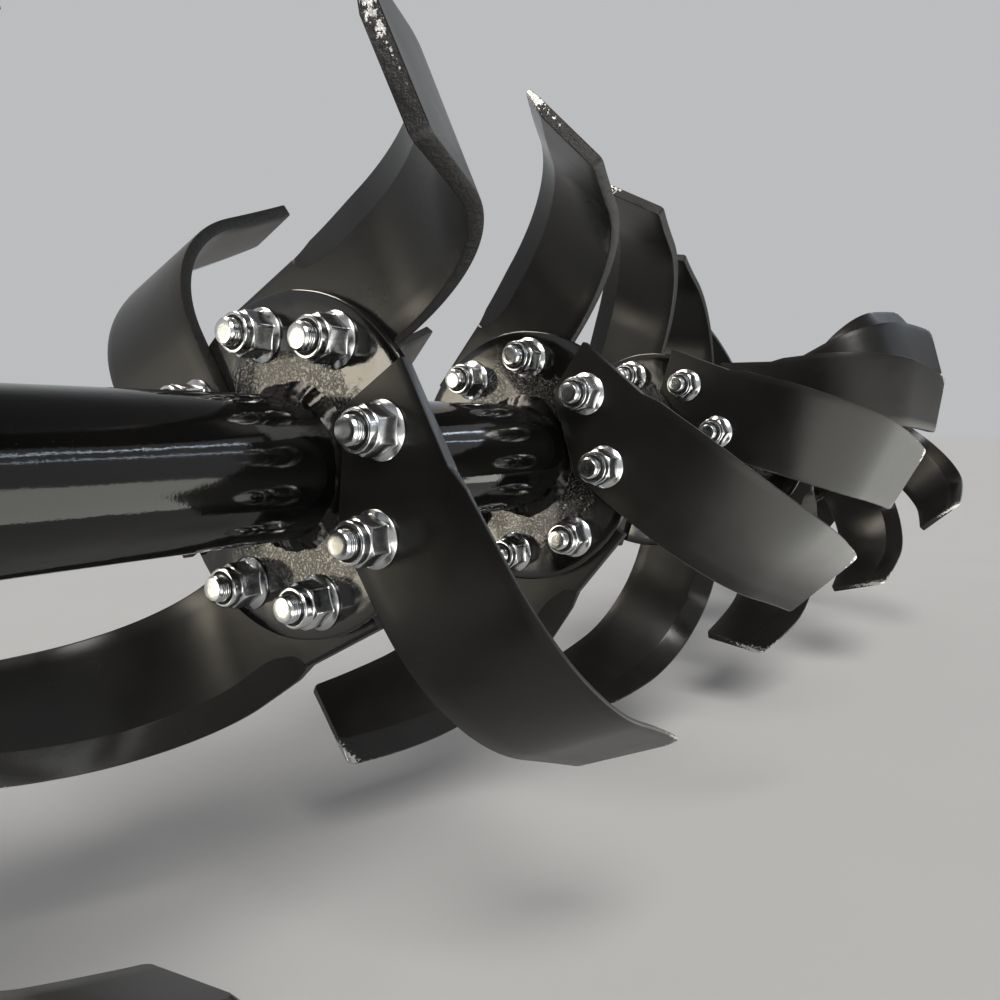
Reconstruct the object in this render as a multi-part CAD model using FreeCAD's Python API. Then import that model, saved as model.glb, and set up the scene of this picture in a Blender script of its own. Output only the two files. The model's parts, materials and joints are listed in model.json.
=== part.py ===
import FreeCAD, Part
import math
import os

# Blade rotor of a rotary tiller with its two end bearing housings.
# X runs along the rotor to the right, Y points forward, Z points up. Lengths are in millimetres.
# The origin is on the rotor axis, on the face that bolts the left housing to its side plate.

Vector = FreeCAD.Vector
AXIS = Vector(1, 0, 0)
CENTRE = Vector(0, 0, 0)

# Rotor tube and its welded flanges
TUBE_DIAMETER = 82.0
TUBE_WALL = 6.0
FLANGE_DIAMETER = 200.0
FLANGE_THICKNESS = 6.0
FLANGE_PITCH = 250.0
WELD_LEG = 4.5

# Angle from +Y of each flange's first tine, from the left. They step round in a hand-welded helix.
FLANGE_ANGLES = [118.1, 95.7, 73.4, 54.7, 34.6, 11.5, -13.9]

# Tine bolts, two to a tine
BOLT_SPACING = 57.0
BOLT_HOLE_DIAMETER = 16.5
BOLTS_FROM_RIM = 27.0

# Tine, as a flat strip before it is bent
# Distances along and across the strip start at the middle between its two bolt holes
TINE_THICKNESS = 8.0
STRIP_ANGLE = 38.0
HEEL_LENGTH = 47.5
HEEL_HALF_WIDTH = 48.0
ROOT_CLEARANCE = 5.0
SHOULDER_START = 15.0
SHOULDER_LENGTH = 15.0
SHOULDER_OFFSET = 43.3
EDGE_OFFSET = 46.3
EDGE_FLARE = 0.8
EDGE_CURVE_START = 63.2
EDGE_RADIUS = 448.0
EDGE_LENGTH = 266.0
BACK_OFFSET = 38.8
BACK_CURVE_START = 63.4
BACK_RADIUS = 705.0
BACK_LENGTH = 248.0

# Bend of a tine
BEND_START = 66.5
BEND_SKEW = 7.8
BEND_RADIUS = 105.0
BEND_ANGLE = 69.6

# Ground cutting bevel, on the hollow side of the bend
BEVEL_RUN_UP = 38.0
BEVEL_WIDTH = 20.0
BEVEL_EDGE_THICKNESS = 3.0

# How finely the curved edges are drawn, and how far a cutting block passes what it cuts
OUTLINE_STEPS = 9
SCOOP_STEPS = 5
BEVEL_STEPS = 9
OUTLINE_MARGIN = 30.0
TIP_MARGIN = 12.0

# Side plates of the machine, which the housings bolt to
PLATE_THICKNESS = 8.0
END_SPACE = 140.0

# Bearing housings
HUB_WALL = 13.0
HUB_LENGTH = 30.0
HOUSING_FLANGE_REACH = 27.0
HOUSING_FLANGE_THICKNESS = 14.0
HOUSING_BOLT_EDGE = 12.5
HOUSING_BOLT_COUNT = 6
HOUSING_BOLT_HOLE = 13.0
RIB_THICKNESS = 8.0
SPIGOT_DIAMETER = 110.0
SPIGOT_REACH = 14.0
EDGE_BREAK = 2.0

# Bearings, seals and covers
BEARING_DIAMETER = 90.0
BEARING_WIDTH = 20.0
BEARING_INSET = 3.0
SEAL_DIAMETER = 80.0
SEAL_WIDTH = 10.0
COVER_THICKNESS = 8.0
COVER_SCREW_COUNT = 4
COVER_SCREW_HOLE = 6.6
DOME_HEIGHT = 7.0
NIPPLE_DIAMETER = 8.0
NIPPLE_LENGTH = 14.0

# Shafts
JOURNAL_DIAMETER = 50.0
SEAL_JOURNAL_DIAMETER = 60.0
RUNNING_CLEARANCE = 0.05
SHAFT_PLUG_LENGTH = 60.0
DRIVE_END_DIAMETER = 45.0
DRIVE_END_LENGTH = 68.0
KEYWAY_WIDTH = 14.0
KEYWAY_DEPTH = 5.5
KEYWAY_LENGTH = 55.0

# Cup-shaped guards that keep stems off the seals
GUARD_THICKNESS = 4.0
GUARD_GAP = 5.5


def ring(x0, x1, outer_radius, inner_radius):
    """A plain ring about the rotor axis from x0 to x1."""
    tube = Part.makeCylinder(outer_radius, x1 - x0, Vector(x0, 0, 0), AXIS)
    return tube.cut(Part.makeCylinder(inner_radius, x1 - x0, Vector(x0, 0, 0), AXIS))


def revolved(profile):
    """A solid turned about the rotor axis from (x, radius) points."""
    points = [Vector(x, 0, r) for x, r in profile]
    face = Part.Face(Part.makePolygon(points + points[:1]))
    return face.revolve(CENTRE, AXIS, 360)


def turned(shape, angle, x=0.0):
    """A copy of the shape turned about the rotor axis and moved along it."""
    copy = shape.copy()
    copy.rotate(CENTRE, AXIS, angle)
    copy.translate(Vector(x, 0, 0))
    return copy


# Places along the rotor
tube_radius = TUBE_DIAMETER / 2
tube_bore = tube_radius - TUBE_WALL
flange_x = [PLATE_THICKNESS + END_SPACE - FLANGE_THICKNESS / 2 + i * FLANGE_PITCH
            for i in range(len(FLANGE_ANGLES))]
right_plate_x = flange_x[-1] + FLANGE_THICKNESS / 2 + END_SPACE + PLATE_THICKNESS
spigot_front = PLATE_THICKNESS + SPIGOT_REACH
tube_start = spigot_front + GUARD_GAP
tube_end = right_plate_x - tube_start
housing_back = -HOUSING_FLANGE_THICKNESS - HUB_LENGTH
bearing_start = housing_back + BEARING_INSET
bearing_end = bearing_start + BEARING_WIDTH
bolt_row = FLANGE_DIAMETER / 2 - BOLTS_FROM_RIM

# Sizes of the housings round their bearings
hub_radius = BEARING_DIAMETER / 2 + HUB_WALL
housing_radius = hub_radius + HOUSING_FLANGE_REACH
housing_bolt_row = housing_radius - HOUSING_BOLT_EDGE
cover_screw_row = (BEARING_DIAMETER / 2 + hub_radius) / 2

# Directions in the tine's own plane, as (tangent, outward) pairs
strip_turn = math.radians(STRIP_ANGLE)
along = (math.cos(strip_turn), math.sin(strip_turn))
across = (-math.sin(strip_turn), math.cos(strip_turn))
ruling_turn = math.radians(STRIP_ANGLE + 90 - BEND_SKEW)
ruling = (math.cos(ruling_turn), math.sin(ruling_turn))
past = (math.sin(ruling_turn), -math.cos(ruling_turn))
bend_arc = BEND_RADIUS * math.radians(BEND_ANGLE)


def flat(s, offset):
    """The flat point at a distance along and across the strip."""
    return (along[0] * s + across[0] * offset, bolt_row + along[1] * s + across[1] * offset)


middle = (EDGE_OFFSET - BACK_OFFSET) / 2
bend_line = flat(BEND_START, middle)


def sagitta(radius, run):
    """How far an arc has left its tangent after a run along it."""
    return radius - math.sqrt(max(radius ** 2 - run ** 2, 0.0)) if run > 0 else 0.0


def front_edge(s):
    """The cutting edge: straight with a slight flare, then an arc."""
    edge_start = SHOULDER_START + SHOULDER_LENGTH
    slope = EDGE_FLARE / (EDGE_CURVE_START - edge_start)
    offset = EDGE_OFFSET + slope * (s - edge_start) - sagitta(EDGE_RADIUS, s - EDGE_CURVE_START)
    return flat(s, offset)


def back_edge(s):
    """The blunt back edge: straight, then an arc."""
    return flat(s, -BACK_OFFSET - sagitta(BACK_RADIUS, s - BACK_CURVE_START))


def past_bend(point):
    """How far a flat point lies past the line where the bend starts."""
    return (point[0] - bend_line[0]) * past[0] + (point[1] - bend_line[1]) * past[1]


def crossing(edge, distance):
    """How far along the strip an edge crosses the ruling at a distance past the bend's start."""
    low = -200.0
    high = 450.0
    while high - low > 1e-7:
        s = (low + high) / 2
        if past_bend(edge(s)) < distance:
            low = s
        else:
            high = s
    return low


def folded(point, depth, side):
    """Where a flat point goes in the bend. Depth runs from the outer face to the hollow one.
    Side 1 bends to +X and side -1 to -X."""
    distance = past_bend(point)
    shift = (point[0] - bend_line[0]) * ruling[0] + (point[1] - bend_line[1]) * ruling[1]
    angle = min(max(distance / BEND_RADIUS, 0.0), math.radians(BEND_ANGLE))
    straight = max(distance - bend_arc, 0.0)
    radius = BEND_RADIUS - depth
    reach = min(distance, 0.0) + radius * math.sin(angle) + straight * math.cos(angle)
    rise = BEND_RADIUS - radius * math.cos(angle) + straight * math.sin(angle)
    u = bend_line[0] + shift * ruling[0] + reach * past[0]
    v = bend_line[1] + shift * ruling[1] + reach * past[1]
    return Vector(side * rise, v, u)


def across_tine(distance, shift, depth, side):
    """The point past the start of the bend, along its ruling and at a depth in the sheet."""
    flat_point = (bend_line[0] + past[0] * distance + ruling[0] * shift,
                  bend_line[1] + past[1] * distance + ruling[1] * shift)
    return folded(flat_point, depth, side)


def bent_sheet(side):
    """A wide sheet with the tine's bend, from behind the heel to past the tip."""
    half_width = BEND_START + HEEL_LENGTH
    starts = (-BEND_START - 2 * HEEL_LENGTH, 0.0, bend_arc / 2, bend_arc, EDGE_LENGTH)
    outer = [across_tine(d, -half_width, 0.0, side) for d in starts]
    inner = [across_tine(d, -half_width, TINE_THICKNESS, side) for d in starts]
    edges = [Part.makeLine(outer[0], inner[0]), Part.makeLine(outer[4], inner[4])]
    for face in (outer, inner):
        edges.append(Part.makeLine(face[0], face[1]))
        edges.append(Part.Arc(face[1], face[2], face[3]).toShape())
        edges.append(Part.makeLine(face[3], face[4]))
    profile = Part.Face(Part.Wire(Part.__sortEdges__(edges)))
    return profile.extrude(Vector(0, ruling[1], ruling[0]) * 2 * half_width)


def smooth_edge(points):
    """A smooth curve through points, all moved to one plane across the rotor axis."""
    curve = Part.BSplineCurve()
    curve.interpolate([Vector(-OUTLINE_MARGIN, p.y, p.z) for p in points])
    return curve.toShape()


def straight_edge(a, b):
    """A straight line between two points, moved to the same plane."""
    return Part.makeLine(Vector(-OUTLINE_MARGIN, a.y, a.z), Vector(-OUTLINE_MARGIN, b.y, b.z))


def outline_block(side):
    """The tine's outline as seen along the rotor axis, drawn out far enough to cut the sheet."""
    root = tube_radius + ROOT_CLEARANCE
    heel = -HEEL_LENGTH
    heel_root = flat(heel, (root - flat(heel, 0)[1]) / across[1])
    back_root = flat((root - flat(0, -BACK_OFFSET)[1]) / along[1], -BACK_OFFSET)
    back_bend = crossing(back_edge, 0.0)
    front_bend = crossing(front_edge, 0.0)
    run = EDGE_LENGTH + TIP_MARGIN
    spread = [i / OUTLINE_STEPS for i in range(OUTLINE_STEPS + 1)]
    back = [back_edge(back_bend + (run - back_bend) * t) for t in spread]
    front = [front_edge(front_bend + (run - front_bend) * t) for t in spread]
    corners = [back_root, heel_root, flat(heel, HEEL_HALF_WIDTH),
               flat(SHOULDER_START, SHOULDER_OFFSET),
               front_edge(SHOULDER_START + SHOULDER_LENGTH)]
    straight = [folded(p, 0.0, side) for p in [back[0]] + corners + [front[0]]]
    back = [folded(p, 0.0, side) for p in back]
    front = [folded(p, 0.0, side) for p in front]
    edges = [straight_edge(a, b) for a, b in zip(straight, straight[1:])]
    edges += [smooth_edge(front), straight_edge(front[-1], back[-1]), smooth_edge(back)]
    face = Part.Face(Part.Wire(Part.__sortEdges__(edges)))
    block = face.extrude(Vector(EDGE_LENGTH, 0, 0))
    if side < 0:
        block.translate(Vector(2 * OUTLINE_MARGIN - EDGE_LENGTH, 0, 0))
    return block


def tip_cutter(side):
    """A block past the end of the tine, square to the bent tip."""
    back = back_edge(BACK_LENGTH)
    front = front_edge(EDGE_LENGTH)
    tip_middle = ((back[0] + front[0]) / 2, (back[1] + front[1]) / 2)
    start = folded(back, 0.0, side)
    run = folded(front, 0.0, side) - start
    normal = folded(tip_middle, -1.0, side) - folded(tip_middle, 0.0, side)
    out = run.cross(normal) * side
    low = start - run * 0.5 + normal * TIP_MARGIN
    corners = [low, low + run * 2, low + run * 2 + out, low + out]
    depth = TINE_THICKNESS + 2 * TIP_MARGIN
    return Part.Face(Part.makePolygon(corners + corners[:1])).extrude(normal * -depth)


def bevel_section(distance, grown, side):
    """One section of what the grinding takes off, sunk to its full depth where grown is 1."""
    rise = TINE_THICKNESS - BEVEL_EDGE_THICKNESS
    slope = rise / BEVEL_WIDTH
    spare = 4.0
    front = front_edge(crossing(front_edge, distance))
    edge = (front[0] - bend_line[0]) * ruling[0] + (front[1] - bend_line[1]) * ruling[1]
    deep = TINE_THICKNESS - rise * grown
    corners = [(edge - (TINE_THICKNESS + spare - deep) / slope, TINE_THICKNESS + spare),
               (edge + spare, deep - spare * slope),
               (edge + spare, TINE_THICKNESS + spare)]
    points = [across_tine(distance, shift, depth, side) for shift, depth in corners]
    return Part.makePolygon(points + points[:1])


def bevel_cutters(side):
    """What the grinding of the cutting edge takes off: a scoop at the shoulder, then a bevel."""
    start = past_bend(front_edge(SHOULDER_START))
    full = past_bend(front_edge(SHOULDER_START + BEVEL_RUN_UP))
    end = past_bend(front_edge(EDGE_LENGTH)) + TIP_MARGIN
    scoop = []
    for i in range(SCOOP_STEPS + 1):
        turn = math.pi / 2 * i / SCOOP_STEPS
        scoop.append(bevel_section(start + (full - start) * (1 - math.cos(turn)),
                                   math.sin(turn), side))
    bevel = [bevel_section(full + (end - full) * i / BEVEL_STEPS, 1.0, side)
             for i in range(BEVEL_STEPS + 1)]
    return [Part.makeLoft(scoop, True, False), Part.makeLoft(bevel, True, False)]


def make_tine(side):
    """One tine with its bolted face at 0 and the middle of its bolts towards +Y."""
    tine = bent_sheet(side).common(outline_block(side))
    tine = tine.cut(tip_cutter(side))
    for cutter in bevel_cutters(side):
        tine = tine.cut(cutter)
    for u in (-BOLT_SPACING / 2, BOLT_SPACING / 2):
        tine = tine.cut(Part.makeCylinder(BOLT_HOLE_DIAMETER / 2, TINE_THICKNESS + 2,
                                          Vector(-side, bolt_row, u), Vector(side, 0, 0)))
    return tine.removeSplitter().Solids[0]


def make_flange():
    """A flange disc with the bolt holes of its four tines."""
    disc = ring(0, FLANGE_THICKNESS, FLANGE_DIAMETER / 2, tube_radius)
    for quarter in range(4):
        for u in (-BOLT_SPACING / 2, BOLT_SPACING / 2):
            hole = Part.makeCylinder(BOLT_HOLE_DIAMETER / 2, FLANGE_THICKNESS + 2,
                                     Vector(-1, bolt_row, u), AXIS)
            disc = disc.cut(turned(hole, 90 * quarter))
    return disc


def make_weld(x, side):
    """A fillet weld between the tube and one face of a flange or guard."""
    return revolved([(x, tube_radius), (x + side * WELD_LEG, tube_radius),
                     (x, tube_radius + WELD_LEG)])


def make_housing():
    """A bearing housing on the left plate: its mounting face at 0, the rotor at +X."""
    seal_seat = spigot_front - SEAL_WIDTH
    throat = (SEAL_JOURNAL_DIAMETER + BEARING_DIAMETER) / 4
    profile = [
        (housing_back, BEARING_DIAMETER / 2),
        (housing_back, hub_radius - EDGE_BREAK),
        (housing_back + EDGE_BREAK, hub_radius),
        (-HOUSING_FLANGE_THICKNESS, hub_radius),
        (-HOUSING_FLANGE_THICKNESS, housing_radius - EDGE_BREAK),
        (-HOUSING_FLANGE_THICKNESS + EDGE_BREAK, housing_radius),
        (0, housing_radius),
        (0, SPIGOT_DIAMETER / 2),
        (spigot_front - EDGE_BREAK, SPIGOT_DIAMETER / 2),
        (spigot_front, SPIGOT_DIAMETER / 2 - EDGE_BREAK),
        (spigot_front, SEAL_DIAMETER / 2),
        (seal_seat, SEAL_DIAMETER / 2),
        (seal_seat, throat),
        (bearing_end, throat),
        (bearing_end, BEARING_DIAMETER / 2),
    ]
    body = revolved(profile)
    rib_root = hub_radius - 1
    rib_top = (housing_bolt_row + hub_radius) / 2
    rib_points = [Vector(housing_back + EDGE_BREAK, rib_root, -RIB_THICKNESS / 2),
                  Vector(-HOUSING_FLANGE_THICKNESS + 1, rib_root, -RIB_THICKNESS / 2),
                  Vector(-HOUSING_FLANGE_THICKNESS + 1, rib_top + 8, -RIB_THICKNESS / 2),
                  Vector(housing_back + EDGE_BREAK, rib_root + 1.5, -RIB_THICKNESS / 2)]
    rib = Part.Face(Part.makePolygon(rib_points + rib_points[:1]))
    rib = rib.extrude(Vector(0, 0, RIB_THICKNESS))
    step = 360.0 / HOUSING_BOLT_COUNT
    for i in range(HOUSING_BOLT_COUNT):
        body = body.fuse(turned(rib, step * (i + 0.5)))
    bolt = Part.makeCylinder(HOUSING_BOLT_HOLE / 2, HOUSING_FLANGE_THICKNESS + 2,
                             Vector(-HOUSING_FLANGE_THICKNESS - 1, housing_bolt_row, 0),
                             AXIS)
    for i in range(HOUSING_BOLT_COUNT):
        body = body.cut(turned(bolt, step * i))
    return body


def make_cover(bore):
    """A cover over the hub's outer end, domed and closed when its bore is zero."""
    front = housing_back
    back = housing_back - COVER_THICKNESS
    radius = hub_radius - EDGE_BREAK
    lip = BEARING_DIAMETER / 2 - RUNNING_CLEARANCE
    profile = [(front, radius), (back + EDGE_BREAK, radius), (back, radius - EDGE_BREAK)]
    if bore == 0:
        dome = cover_screw_row - COVER_SCREW_HOLE - 4
        profile += [(back, dome), (back - DOME_HEIGHT, dome - DOME_HEIGHT), (back - DOME_HEIGHT, 0)]
        profile += [(back + 4, 0), (back + 4, lip - 6)]
    else:
        profile += [(back, bore)]
        profile += [(front + BEARING_INSET, bore)]
    if bore == 0:
        profile += [(front + BEARING_INSET, lip - 6)]
    profile += [(front + BEARING_INSET, lip), (front, lip)]
    cover = revolved(profile)
    hole = Part.makeCylinder(COVER_SCREW_HOLE / 2, COVER_THICKNESS + 2,
                             Vector(back - 1, cover_screw_row, 0), AXIS)
    for i in range(COVER_SCREW_COUNT):
        cover = cover.cut(turned(hole, 45 + 360.0 * i / COVER_SCREW_COUNT))
    return cover


def make_nipple():
    """A grease nipple seated on the hub between two ribs, with its ball end."""
    x = (housing_back - HOUSING_FLANGE_THICKNESS) / 2
    up = Vector(0, 0, 1)
    base = Vector(x, 0, hub_radius - NIPPLE_DIAMETER / 2)
    stem = Part.makeCylinder(NIPPLE_DIAMETER / 2, NIPPLE_LENGTH * 0.6, base, up)
    neck = Part.makeCylinder(NIPPLE_DIAMETER / 4, NIPPLE_LENGTH, base, up)
    head = Part.makeCone(NIPPLE_DIAMETER / 2.6, NIPPLE_DIAMETER / 4, NIPPLE_LENGTH * 0.25,
                         base + up * NIPPLE_LENGTH * 0.95, up)
    hub = Part.makeCylinder(hub_radius, HUB_LENGTH, Vector(housing_back, 0, 0), AXIS)
    nipple = stem.fuse([neck, head]).cut(hub)
    return turned(nipple, 180.0 / HOUSING_BOLT_COUNT)


def on_right(shape):
    """The right-hand copy of a piece made for the left side plate."""
    copy = shape.mirror(CENTRE, AXIS)
    copy.translate(Vector(right_plate_x, 0, 0))
    return copy


def make_stub(drive):
    """A stub shaft for the left end, plugged into the tube, its journal in the bearing."""
    plug_end = tube_start + SHAFT_PLUG_LENGTH
    shoulder = bearing_end + 1.0
    journal = JOURNAL_DIAMETER / 2
    seal_journal = SEAL_JOURNAL_DIAMETER / 2
    profile = [(plug_end, 0), (plug_end, tube_bore), (tube_start, tube_bore),
               (tube_start, seal_journal), (shoulder, seal_journal), (shoulder, journal)]
    if drive:
        neck = housing_back - COVER_THICKNESS - 2.0
        tip = neck - DRIVE_END_LENGTH
        drive_radius = DRIVE_END_DIAMETER / 2
        profile += [(neck, journal), (neck, drive_radius), (tip + EDGE_BREAK, drive_radius),
                    (tip, drive_radius - EDGE_BREAK)]
    else:
        tip = bearing_start + 1.0
        profile += [(tip + EDGE_BREAK, journal), (tip, journal - EDGE_BREAK)]
    profile += [(tip, 0)]
    shaft = revolved(profile)
    if drive:
        slot = Part.makeBox(KEYWAY_LENGTH + 1, KEYWAY_WIDTH, KEYWAY_DEPTH + 5,
                            Vector(tip - 1, -KEYWAY_WIDTH / 2, drive_radius - KEYWAY_DEPTH))
        shaft = shaft.cut(slot)
    return shaft


def make_guard():
    """The cup at the tube's end, its rim round the housing's spigot."""
    rim_bore = SPIGOT_DIAMETER / 2 + GUARD_GAP
    rim_start = PLATE_THICKNESS + GUARD_GAP
    return revolved([
        (rim_start, rim_bore),
        (rim_start, rim_bore + GUARD_THICKNESS),
        (tube_start + GUARD_THICKNESS, rim_bore + GUARD_THICKNESS),
        (tube_start + GUARD_THICKNESS, tube_radius),
        (tube_start, tube_radius),
        (tube_start, rim_bore),
    ])


flange = make_flange()
tine_by_side = {1: make_tine(1), -1: make_tine(-1)}
flanges = []
flange_welds = []
tines_right = []
tines_left = []
for x, first_angle in zip(flange_x, FLANGE_ANGLES):
    flanges.append(turned(flange, first_angle, x))
    flange_welds += [make_weld(x, -1), make_weld(x + FLANGE_THICKNESS, 1)]
    far_face = x + FLANGE_THICKNESS + TINE_THICKNESS
    for half_turn in (0, 180):
        tines_left.append(turned(tine_by_side[-1], first_angle + half_turn, far_face))
        tines_right.append(turned(tine_by_side[1], first_angle + half_turn + 90,
                                  x - TINE_THICKNESS))

rotor_tube = ring(tube_start, tube_end, tube_radius, tube_bore)
guard = make_guard()
housing = make_housing()
bearing = ring(bearing_start, bearing_end, BEARING_DIAMETER / 2,
               JOURNAL_DIAMETER / 2 + RUNNING_CLEARANCE)
seal = ring(spigot_front - SEAL_WIDTH, spigot_front, SEAL_DIAMETER / 2,
            SEAL_JOURNAL_DIAMETER / 2 + RUNNING_CLEARANCE)
nipple = make_nipple()

nodes = {
    "rotor_tube": [rotor_tube],
    "flanges": flanges,
    "flange_welds": flange_welds,
    "tines_bent_right": tines_right,
    "tines_bent_left": tines_left,
    "end_guards": [guard, on_right(guard)],
    "left_stub_shaft": [make_stub(False)],
    "drive_stub_shaft": [on_right(make_stub(True))],
    "bearing_housings": [housing, on_right(housing)],
    "bearings": [bearing, on_right(bearing)],
    "shaft_seals": [seal, on_right(seal)],
    "closed_cover": [make_cover(0)],
    "drive_side_cover": [on_right(make_cover(JOURNAL_DIAMETER / 2 + 0.5))],
    "grease_nipples": [nipple, on_right(nipple)],
}

os.makedirs("parts", exist_ok=True)
for name, solids in nodes.items():
    shape = solids[0] if len(solids) == 1 else Part.makeCompound(solids)
    shape.exportStep("parts/" + name + ".step")
    volume = sum(s.Volume for s in solids)
    print(name, len(solids), "solids", round(volume / 1000, 1), "cm3",
          "valid" if all(s.isValid() for s in solids) else "NOT VALID")
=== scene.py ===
import bpy
import json
import math
import random
from mathutils import Matrix, Vector, noise


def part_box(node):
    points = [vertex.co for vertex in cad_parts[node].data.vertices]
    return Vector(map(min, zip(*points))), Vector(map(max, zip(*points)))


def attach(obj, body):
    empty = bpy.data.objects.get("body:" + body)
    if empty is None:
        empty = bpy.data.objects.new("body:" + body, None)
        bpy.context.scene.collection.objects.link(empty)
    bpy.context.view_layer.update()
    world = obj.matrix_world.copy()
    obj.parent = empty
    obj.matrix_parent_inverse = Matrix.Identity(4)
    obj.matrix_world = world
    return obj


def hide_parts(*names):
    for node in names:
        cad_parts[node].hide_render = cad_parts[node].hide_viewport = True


# Blade rotor of a rotary tiller, dressed for the photographed view.
# Shapes and their places are in millimetres, and make_mesh and add_piece turn them into
# Blender's metres. Camera, lights, floor and materials are in metres.

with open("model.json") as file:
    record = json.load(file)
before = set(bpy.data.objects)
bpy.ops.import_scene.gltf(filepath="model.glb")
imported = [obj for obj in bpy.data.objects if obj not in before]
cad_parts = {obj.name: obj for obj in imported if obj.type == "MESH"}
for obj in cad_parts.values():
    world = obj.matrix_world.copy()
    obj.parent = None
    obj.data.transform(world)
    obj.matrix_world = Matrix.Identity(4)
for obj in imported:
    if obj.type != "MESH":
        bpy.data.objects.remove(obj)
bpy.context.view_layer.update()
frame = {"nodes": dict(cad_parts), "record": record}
random.seed(7)

MM = 0.001

# Camera, fitted to the bolts of three flanges in the photograph, in metres and degrees
CAMERA_PLACE = (0.0365, -0.3767, 0.0218)
CAMERA_YAW = 33.15
CAMERA_PITCH = -4.57
CAMERA_LENS = 31.97
CAMERA_SENSOR = 36.0
CAMERA_CLIP = 0.01

# Rotor, the same as the source's sizes and angles
FLANGE_ANGLES = [118.1, 95.7, 73.4, 54.7, 34.6, 11.5, -13.9]
FLANGE_THICKNESS = 6.0
TUBE_WALL = 6.0
TINE_THICKNESS = 8.0
BOLT_SPACING = 57.0
BOLT_ROW = 73.0
COVER_THICKNESS = 8.0
COVER_SCREW_ROW = 51.5
COVER_SCREW_COUNT = 4
COVER_SCREW_FLATS = 10.0
COVER_SCREW_HEIGHT = 4.0

# Flat shape of a tine, measured along and across its strip from between its bolts
STRIP_ANGLE = 38.0
HEEL_LENGTH = 47.5
HEEL_HALF_WIDTH = 48.0
ROOT_CLEARANCE = 5.0
SHOULDER_START = 15.0
SHOULDER_LENGTH = 15.0
SHOULDER_OFFSET = 43.3
EDGE_OFFSET = 46.3
EDGE_FLARE = 0.8
EDGE_CURVE_START = 63.2
EDGE_RADIUS = 448.0
EDGE_LENGTH = 266.0
BACK_OFFSET = 38.8
BACK_CURVE_START = 63.4
BACK_RADIUS = 705.0
BACK_LENGTH = 248.0
BEND_START = 66.5
BEND_SKEW = 7.8
BEND_RADIUS = 105.0
BEND_ANGLE = 69.6
BEVEL_RUN_UP = 38.0
BEVEL_WIDTH = 20.0
BEVEL_EDGE_THICKNESS = 3.0

# Zones of a tine's cross-section, which take different finishes
PLAIN, GROUND, SHEARED = range(3)

# Rounding, wear and mesh stations of a tine
STATION_STEP = 4.0
SHOULDER_STATIONS = (0.4, 1.5)
TIP_STATIONS = (1.0, 2.0, 3.2, 5.0, 6.5)
TIP_ROUNDING = 5.0
EDGE_ROUNDING = 0.9
LEAST_BEVEL = 2.2
LEAST_BEVEL_RISE = 0.6
CREASE_WIDTH = 6.0
CREASE_DEPTH = 0.45
CHIP_DEPTH = 0.7
CHIPPED_LENGTH = 90.0
WORN_LENGTH = 70.0
TIP_WEAR_LENGTH = 7.0
TIP_WEAR_WIDTH = 12.0
EDGE_WEAR_WIDTH = 1.5

# M16 bolt, flanged lock nut and hexagon head
BOLT_RADIUS = 8.0
THREAD_PITCH = 1.5
THREAD_DEPTH = 0.38
THREAD_GROOVE = 0.42
THREAD_IN_COLLAR = 2.0
BOLT_CHAMFER = 1.4
BOLT_CHAMFER_SLOPE = 0.9
BOLT_STAND = 28.4
HEX_FLATS = 24.0
HEX_CORNER_RADIUS = 13.6
HEX_CHAMFER_ANGLE = 28.0
HEX_POINTS = 96
NUT_FLANGE_RADIUS = 15.9
NUT_FLANGE_HEIGHT = 1.9
NUT_FLANGE_SLOPE = 24.0
NUT_HEX_TOP = 16.2
NUT_TOP = 21.8
COLLAR_RADIUS = 11.7
INSERT_RADIUS = 9.6
INSERT_DEPTH = 2.9
INSERT_POINTS = 48
HEAD_HEIGHT = 10.0

# Tube and flange discs
TUBE_EDGE = 0.8
TUBE_SPANS = 40
TUBE_POINTS = 144
FLANGE_POINTS = 240

# Weld beads: legs along the tube and up the flange, and the lumps of a hand-laid weld
WELD_STATIONS = 420
WELD_COLUMNS = 12
WELD_LEG_X = 6.2
WELD_LEG_R = 3.9
WELD_LEG_R_FREE = 3.6
WELD_CROWN = 1.2
WELD_HOLLOW = 1.25
WELD_SUNK = 0.1
TINE_ROOT_ANGLES = (32.0, 55.0)
LUMP_SIZE = 2.0
LUMPS_ROUND = 2.5
FINE_LUMPS_ROUND = 6.5

# Floor, in metres
FLOOR_SIZE = 80.0
FLOOR_MIDDLE = 0.9
FLOOR_DROP = 0.30


def corner(name, which):
    """A CAD node's lowest or highest corner, in millimetres."""
    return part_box(name)[which] / MM


tube_radius = corner("rotor_tube", 1).z
tube_start = corner("rotor_tube", 0).x
tube_end = corner("rotor_tube", 1).x
flange_radius = (corner("flanges", 1).z - corner("flanges", 0).z) / 2
first_flange = corner("flanges", 0).x
last_flange = corner("flanges", 1).x - FLANGE_THICKNESS
flange_pitch = (last_flange - first_flange) / (len(FLANGE_ANGLES) - 1)
flange_x = [first_flange + flange_pitch * i for i in range(len(FLANGE_ANGLES))]


# Meshes

def make_mesh(name, points, faces, smooth_angle=35.0):
    """A mesh from points in millimetres, shaded smooth up to an angle."""
    mesh = bpy.data.meshes.new(name)
    mesh.from_pydata([(x * MM, y * MM, z * MM) for x, y, z in points], [], faces)
    mesh.validate()
    mesh.polygons.foreach_set("use_smooth", [True] * len(mesh.polygons))
    mesh.set_sharp_from_angle(angle=math.radians(smooth_angle))
    return mesh


def add_piece(name, mesh, body, material, place=None):
    """An object for a mesh, riding on a body, with a finish from the record.
    Its place is a matrix in millimetres."""
    piece = bpy.data.objects.new(name, mesh)
    bpy.context.scene.collection.objects.link(piece)
    if not mesh.materials:
        mesh.materials.append(material)
    if place is not None:
        in_metres = place.copy()
        in_metres.translation *= MM
        piece.matrix_world = in_metres
    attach(piece, body)
    return piece


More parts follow.
